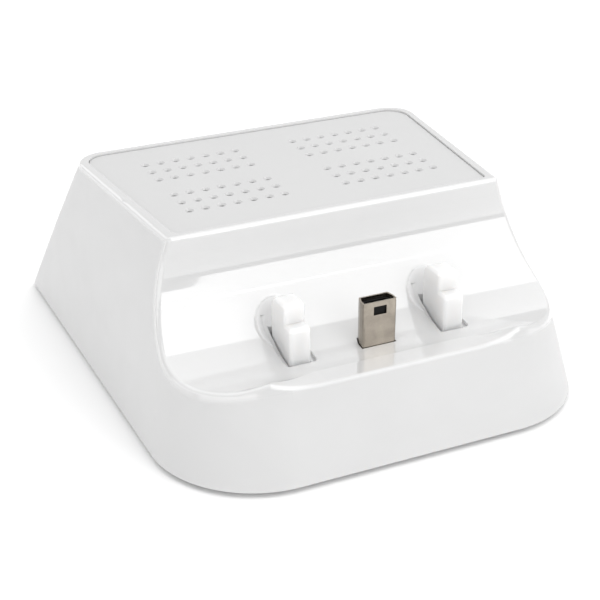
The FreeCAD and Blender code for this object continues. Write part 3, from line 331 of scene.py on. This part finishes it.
FINISHES = {
    "shell_white": moulded_plastic(
        "gloss_white_shell", light=grey(0.60), dark=grey(0.58), gloss=(0.08, 0.14),
        grain_mm=0.35, grain_depth_mm=0.0006, coat=1.0, scatter=0.25, satin=(0.38, 0.48),
    ),
    "panel_white": moulded_plastic(
        "satin_white_panel", light=grey(0.57), dark=grey(0.55), gloss=(0.34, 0.46),
        grain_mm=0.22, grain_depth_mm=0.012, coat=0.15,
    ),
    "base_white": moulded_plastic(
        "matt_white_base", light=(0.79, 0.79, 0.785), dark=(0.765, 0.765, 0.76), gloss=(0.42, 0.55),
        grain_mm=0.30, grain_depth_mm=0.02,
    ),
    "lever_white": moulded_plastic(
        "gloss_white_guides", light=grey(0.72), dark=grey(0.70), gloss=(0.12, 0.2),
        grain_mm=0.3, grain_depth_mm=0.002, coat=0.1, scatter=1.0, bleed_mm=4.5,
    ),
    "foot_rubber": rubber("grey_rubber"),
    "screw_steel": metal(
        "zinc_screws", light=(0.62, 0.62, 0.64), dark=(0.45, 0.45, 0.46), gloss=(0.22, 0.38),
        brush=(3.0, 1.0, 1.0),
    ),
    "pin_steel": metal(
        "ground_pins", light=(0.66, 0.66, 0.67), dark=(0.52, 0.52, 0.53), gloss=(0.14, 0.26),
        brush=(6.0, 1.0, 1.0),
    ),
    "spring_steel": metal(
        "spring_wire", light=(0.52, 0.52, 0.54), dark=(0.36, 0.36, 0.37), gloss=(0.2, 0.34),
        brush=(1.0, 1.0, 2.0), brush_mm=0.08,
    ),
    "plug_nickel": metal(
        "nickel_plug", light=(0.40, 0.358, 0.303), dark=(0.28, 0.25, 0.212), gloss=(0.16, 0.28),
        brush=(5.0, 5.0, 0.6), brush_mm=0.12,
    ),
    "socket_nickel": metal(
        "nickel_socket", light=(0.66, 0.64, 0.61), dark=(0.52, 0.50, 0.48), gloss=(0.2, 0.34),
        brush=(1.0, 5.0, 5.0), brush_mm=0.12,
    ),
    "black_plastic": dark_plastic(
        "black_nylon", light=grey(0.010), dark=grey(0.006), gloss=(0.55, 0.7), grain_mm=0.2,
    ),
    "contact_gold": metal(
        "gold_contacts", light=(0.83, 0.60, 0.24), dark=(0.70, 0.48, 0.18), gloss=(0.18, 0.3),
        brush=(4.0, 4.0, 1.0), brush_mm=0.1,
    ),
    "board_green": board("green_board"),
    "chip_black": dark_plastic(
        "chip_epoxy", light=(0.036, 0.036, 0.038), dark=(0.024, 0.024, 0.026), gloss=(0.55, 0.7),
        grain_mm=0.12,
    ),
    "can_aluminium": metal(
        "can_sleeve", light=(0.72, 0.72, 0.73), dark=(0.60, 0.60, 0.61), gloss=(0.25, 0.4),
        brush=(1.0, 1.0, 0.3), brush_mm=0.15,
    ),
}

slot_of = {part["node"]: part["material_slot"] for part in frame["record"]["subparts"]}
for name, node in frame["nodes"].items():
    node.data.materials.clear()
    node.data.materials.append(FINISHES[slot_of[name]])


# ---------------------------------------------------------------- return springs

def shortening_spring(side):
    """A copy of a return spring, riding on the dock, in place of the stiff one of the frame."""
    stiff = frame["nodes"]["return_spring_" + side]
    coil = bpy.data.objects.new("return_coil_" + side, stiff.data.copy())
    coil.matrix_world = stiff.matrix_world.copy()
    bpy.context.scene.collection.objects.link(coil)
    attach(coil, "dock")
    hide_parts(stiff.name)
    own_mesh(coil)


for side in ("left", "right"):
    shortening_spring(side)


# ---------------------------------------------------------------- floor, light and camera

def floor():
    """A pale table top, much wider than the view."""
    bpy.ops.mesh.primitive_plane_add(size=8.0, location=(0.0, 0.0, 0.0))
    plane = bpy.context.object
    plane.name = "floor"
    g = Graph("pale_floor")
    cloud = g.noise(180.0, detail=2.0)
    g.colour(g.mixed(g.remap(cloud, *NOISE_SPAN), grey(0.93), grey(0.95)))
    g.fixed(Roughness=0.6)
    plane.data.materials.append(g.material)


def softbox(name, place, turn, width, height, glow):
    """A lit rectangle whose surface has a radiance of glow, where 1.0 is shown as full white."""
    data = bpy.data.lights.new(name, "AREA")
    data.shape = "RECTANGLE"
    data.size = width
    data.size_y = height
    data.energy = glow * math.pi * width * height
    lamp = bpy.data.objects.new(name, data)
    lamp.location = place
    lamp.rotation_euler = turn
    bpy.context.scene.collection.objects.link(lamp)


def ceiling(name, middle, slant, near, far, width, height, glow):
    """A lit ceiling strip, facing down, from near to far in front of the line through middle."""
    reach = (near + far) / 2
    place = (middle[0] + reach * math.sin(slant), middle[1] - reach * math.cos(slant), height)
    softbox(name, place, (0.0, 0.0, slant), width, far - near, glow)


def wall(name, x0, x1, z0, z1, y, glow):
    """A lit wall in front of the object, facing it, from x0 to x1 and z0 to z1."""
    place = ((x0 + x1) / 2, y, (z0 + z1) / 2)
    softbox(name, place, (math.pi / 2, 0.0, 0.0), x1 - x0, z1 - z0, glow)


def screen(name, bearing, distance, low, high, width, glow):
    """An upright lit screen facing the object. Its bearing is counted from +X towards +Y."""
    place = (distance * math.cos(bearing), distance * math.sin(bearing), (low + high) / 2)
    softbox(name, place, (math.pi / 2, 0.0, bearing + math.pi / 2), width, high - low, glow)


def lights():
    """A pale tent all round, a bright softbox overhead and in front, and fills on the left and behind.

    The cradle channel mirrors the edges of the bright softbox, so its places come from the photo.
    """
    bright, fill, rear_fill, tent = 1.55, 0.74, 0.65, 0.82
    middle, slant, height = (0.62, 0.03), math.radians(16.5), 1.0
    front, seam = -1.6, 0.489
    ceiling("key_overhead", middle, slant, near=0.0, far=1.7, width=1.15, height=height, glow=bright)
    ceiling("fill_overhead", middle, slant, near=-1.0, far=0.0, width=2.6, height=height, glow=rear_fill)
    wall("key_front_left", x0=0.1, x1=seam, z0=0.42, z1=height, y=front, glow=bright)
    wall("key_front_right", x0=seam, x1=1.3, z0=0.15, z1=height, y=front, glow=bright)
    screen("fill_left", math.radians(207.0), distance=1.6, low=0.05, high=1.0, width=3.2, glow=fill)
    screen("fill_left_back", math.radians(122.0), distance=1.8, low=0.2, high=1.1, width=1.0, glow=fill)
    world = bpy.data.worlds.new("studio")
    world.use_nodes = True
    sky = world.node_tree.nodes["Background"]
    sky.inputs["Color"].default_value = (1.0, 1.0, 1.0, 1.0)
    sky.inputs["Strength"].default_value = tent
    bpy.context.scene.world = world


def camera():
    """The photo's camera, and a plain transfer from light to screen values."""
    data = bpy.data.cameras.new("camera")
    data.lens = CAMERA_LENS_MM
    data.sensor_width = SENSOR_WIDTH_MM
    data.clip_start = 0.01
    data.clip_end = 20.0
    eye = bpy.data.objects.new("camera", data)
    eye.location = CAMERA_PLACE
    eye.rotation_euler = Vector(CAMERA_AIM).to_track_quat("-Z", "Y").to_euler()
    bpy.context.scene.collection.objects.link(eye)
    bpy.context.scene.camera = eye
    bpy.context.scene.view_settings.view_transform = "Standard"


floor()
lights()
camera()
